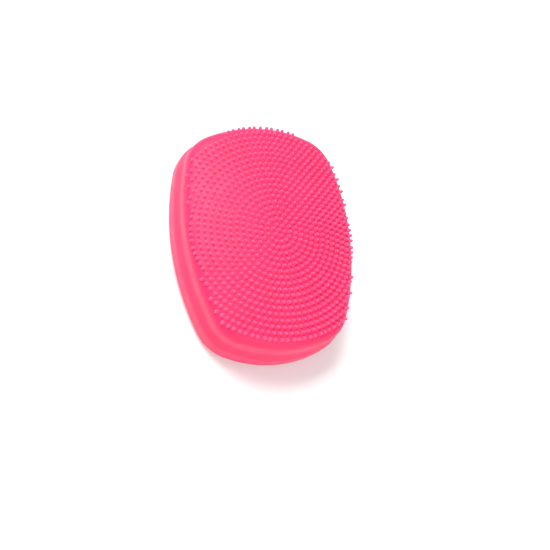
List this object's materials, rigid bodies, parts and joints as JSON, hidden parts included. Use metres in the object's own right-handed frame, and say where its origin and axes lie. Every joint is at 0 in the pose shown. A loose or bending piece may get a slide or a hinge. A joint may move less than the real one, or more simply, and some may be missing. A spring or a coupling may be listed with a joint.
{
  "type": "facial cleansing brush",
  "caption": "Palm-size silicone face brush with a domed bristle pad, flared wall, flat back with press buttons and a vibration motor inside.",
  "frame": {"origin": "centre of the flat back, on the surface the brush rests on", "axes": "+Z straight out of the bristles, +Y along the long side, +X across the body"},
  "size_m": [0.064, 0.0844, 0.0261],
  "materials": {
    "silicone": "matte, very fine moulded texture",
    "silicone_button": "matte",
    "shell_plastic": "fine satin",
    "seal_rubber": "matte",
    "steel": "brushed",
    "gold_contact": "polished",
    "board": "satin solder mask",
    "black_plastic": "satin",
    "lamp": "gloss",
    "clear_plastic": "frosted clear",
    "cell_wrap": "shrink wrap, gloss",
    "nickel": "satin",
    "foam": "open-cell foam, matte",
    "magnet": "dark, satin",
    "copper": "bare wire windings",
    "bronze": "sintered, satin",
    "lead_wire": "satin",
    "damper_rubber": "matte"
  },
  "bodies": {
    "housing": {"face_pad": "silicone", "bristle_field": "silicone", "back_sleeve": "silicone", "front_shell": "shell_plastic", "back_shell": "shell_plastic", "seal_ring": "seal_rubber", "shell_screws": "steel", "switch_housings": "black_plastic", "circuit_board": "board", "control_chips": "black_plastic", "indicator_lamp": "lamp", "light_pipe": "clear_plastic", "charging_contacts": "gold_contact", "charging_magnets": "magnet", "battery_cell": "cell_wrap", "battery_tabs": "nickel", "battery_foam": "foam", "battery_saddle": "shell_plastic", "motor_can": "steel", "motor_end_cap": "black_plastic", "motor_bushes": "bronze", "motor_magnet": "magnet", "motor_damper": "damper_rubber", "motor_saddle": "shell_plastic", "motor_leads": "lead_wire"},
    "rotor": {"motor_shaft": "steel", "armature": "copper", "eccentric_weight": "steel"},
    "power_key": {"power_button": "silicone_button", "power_plunger": "black_plastic"},
    "plus_key": {"plus_button": "silicone_button", "plus_plunger": "black_plastic"},
    "minus_key": {"minus_button": "silicone_button", "minus_plunger": "black_plastic"}
  },
  "joints": [
    {"name": "rotor_spin", "type": "hinge", "parent": "housing", "child": "rotor", "pos_m": [0.012, 0, 0.0128], "axis": [0, 1, 0], "continuous": true},
    {"name": "power_press", "type": "slide", "parent": "housing", "child": "power_key", "axis": [0, 0, 1], "range_m": [0, 0.0004], "stiffness_N_per_m": 2500, "springref_m": -0.0002},
    {"name": "plus_press", "type": "slide", "parent": "housing", "child": "plus_key", "axis": [0, 0, 1], "range_m": [0, 0.0004], "stiffness_N_per_m": 2500, "springref_m": -0.0002},
    {"name": "minus_press", "type": "slide", "parent": "housing", "child": "minus_key", "axis": [0, 0, 1], "range_m": [0, 0.0004], "stiffness_N_per_m": 2500, "springref_m": -0.0002}
  ]
}
